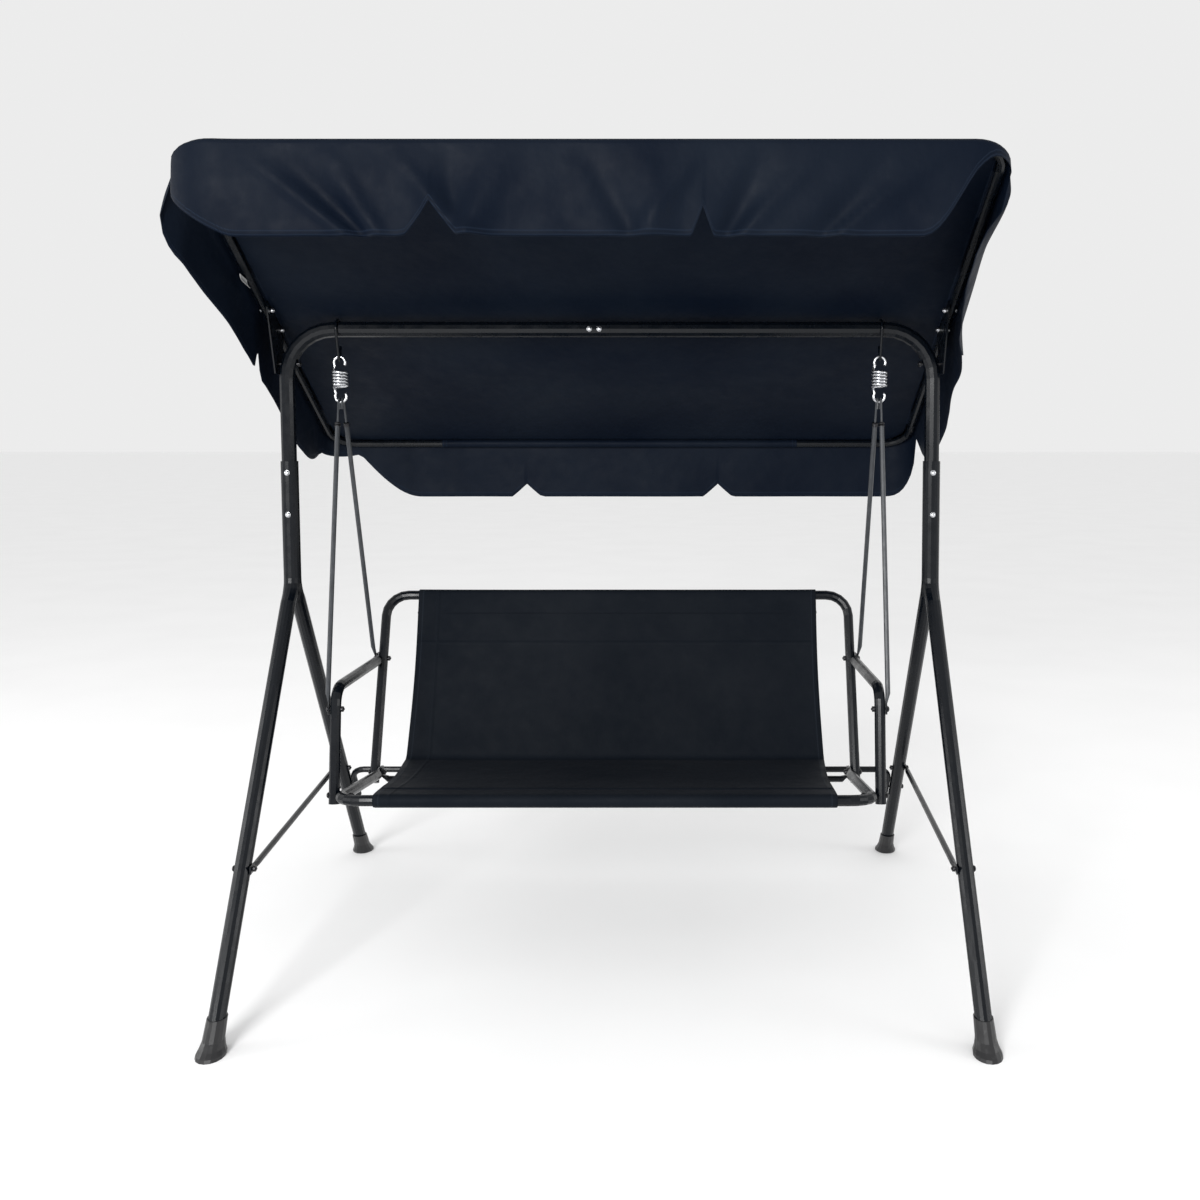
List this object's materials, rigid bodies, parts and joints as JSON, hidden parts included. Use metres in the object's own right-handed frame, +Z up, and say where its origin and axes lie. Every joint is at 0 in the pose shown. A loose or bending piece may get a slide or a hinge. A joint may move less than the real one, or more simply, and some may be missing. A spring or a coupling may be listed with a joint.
{
  "type": "garden swing bench",
  "caption": "Three-seat garden swing bench with a tilting fabric canopy, sling seat on coil springs and a black tube A-frame.",
  "frame": {"origin": "on the ground, midway between the four feet", "axes": "+Z up, +X to the right of someone facing the bench's front, -Y towards the front"},
  "size_m": [1.567, 1.188, 1.74],
  "materials": {
    "black_frame": "satin black powder coat",
    "grey_rod": "satin dark grey",
    "zinc_steel": "bright zinc plate",
    "black_bolt": "black oxide",
    "foot_plastic": "moulded, semi-gloss",
    "canopy_cloth": "coated woven polyester, charcoal",
    "sling_cloth": "woven mesh sling, charcoal",
    "label_cloth": "blank woven care label"
  },
  "bodies": {
    "frame": {"top_rail_left": "black_frame", "top_rail_right": "black_frame", "top_rail_bolt_1": "zinc_steel", "top_rail_bolt_2": "zinc_steel", "leg_front_left": "black_frame", "foot_cap_front_left": "foot_plastic", "brace_bolt_front_left": "black_bolt", "leg_front_right": "black_frame", "foot_cap_front_right": "foot_plastic", "brace_bolt_front_right": "black_bolt", "leg_rear_left": "black_frame", "foot_cap_rear_left": "foot_plastic", "brace_bolt_rear_left": "black_bolt", "leg_rear_right": "black_frame", "foot_cap_rear_right": "foot_plastic", "brace_bolt_rear_right": "black_bolt", "clamp_bolt_upper_left": "zinc_steel", "clamp_bolt_lower_left": "zinc_steel", "side_brace_left": "black_frame", "crossbar_bolt_left": "black_bolt", "canopy_pivot_left": "black_bolt", "clamp_bolt_upper_right": "zinc_steel", "clamp_bolt_lower_right": "zinc_steel", "side_brace_right": "black_frame", "crossbar_bolt_right": "black_bolt", "canopy_pivot_right": "black_bolt", "rear_crossbar": "black_frame"},
    "canopy": {"canopy_bow_front": "black_frame", "canopy_bow_rear": "black_frame", "canopy_fabric": "canopy_cloth", "care_label": "label_cloth", "canopy_plate_left": "black_frame", "canopy_bolt_front_left": "zinc_steel", "canopy_bolt_rear_left": "zinc_steel", "canopy_plate_right": "black_frame", "canopy_bolt_front_right": "zinc_steel", "canopy_bolt_rear_right": "zinc_steel"},
    "hook_left": {"bar_hook_left": "black_frame"},
    "spring_left": {"spring_left": "zinc_steel"},
    "seat": {"seat_frame": "black_frame", "back_frame": "black_frame", "seat_crossbar": "black_frame", "sling_fabric": "sling_cloth", "arm_left": "black_frame", "arm_bolt_left": "black_bolt", "junction_bolt_left": "black_bolt", "hanger_rod_front_left": "grey_rod", "hanger_rod_rear_left": "grey_rod", "hanger_bolt_front_left": "black_bolt", "hanger_bolt_rear_left": "black_bolt", "arm_right": "black_frame", "arm_bolt_right": "black_bolt", "junction_bolt_right": "black_bolt", "hanger_rod_front_right": "grey_rod", "hanger_rod_rear_right": "grey_rod", "hanger_bolt_front_right": "black_bolt", "hanger_bolt_rear_right": "black_bolt"},
    "hook_right": {"bar_hook_right": "black_frame"},
    "spring_right": {"spring_right": "zinc_steel"}
  },
  "joints": [
    {"name": "canopy_tilt", "type": "hinge", "parent": "frame", "child": "canopy", "pos_m": [0, 0, 1.349], "axis": [1, 0, 0], "range_deg": [-8, 5]},
    {"name": "swing", "type": "hinge", "parent": "frame", "child": "hook_left", "pos_m": [-0.608, 0, 1.425], "axis": [1, 0, 0], "range_deg": [-18, 18]},
    {"name": "spring_stretch", "type": "slide", "parent": "hook_left", "child": "spring_left", "axis": [0, 0, -1], "range_m": [0, 0.025], "stiffness_N_per_m": 20000, "springref_m": -0.01, "deforming": ["spring_left"]},
    {"name": "seat_pitch", "type": "hinge", "parent": "spring_left", "child": "seat", "pos_m": [-0.608, 0, 1.265], "axis": [1, 0, 0], "range_deg": [-4, 4]},
    {"name": "swing_right_hook", "type": "hinge", "parent": "frame", "child": "hook_right", "pos_m": [0.608, 0, 1.425], "axis": [1, 0, 0], "range_deg": [-18, 18]},
    {"name": "spring_stretch_right", "type": "slide", "parent": "hook_right", "child": "spring_right", "axis": [0, 0, -1], "range_m": [0, 0.025], "stiffness_N_per_m": 20000, "springref_m": -0.01, "deforming": ["spring_right"]}
  ],
  "couplings": [
    {"joint": "swing_right_hook", "follows": "swing", "ratio": 1},
    {"joint": "spring_stretch_right", "follows": "spring_stretch", "ratio": 1}
  ]
}
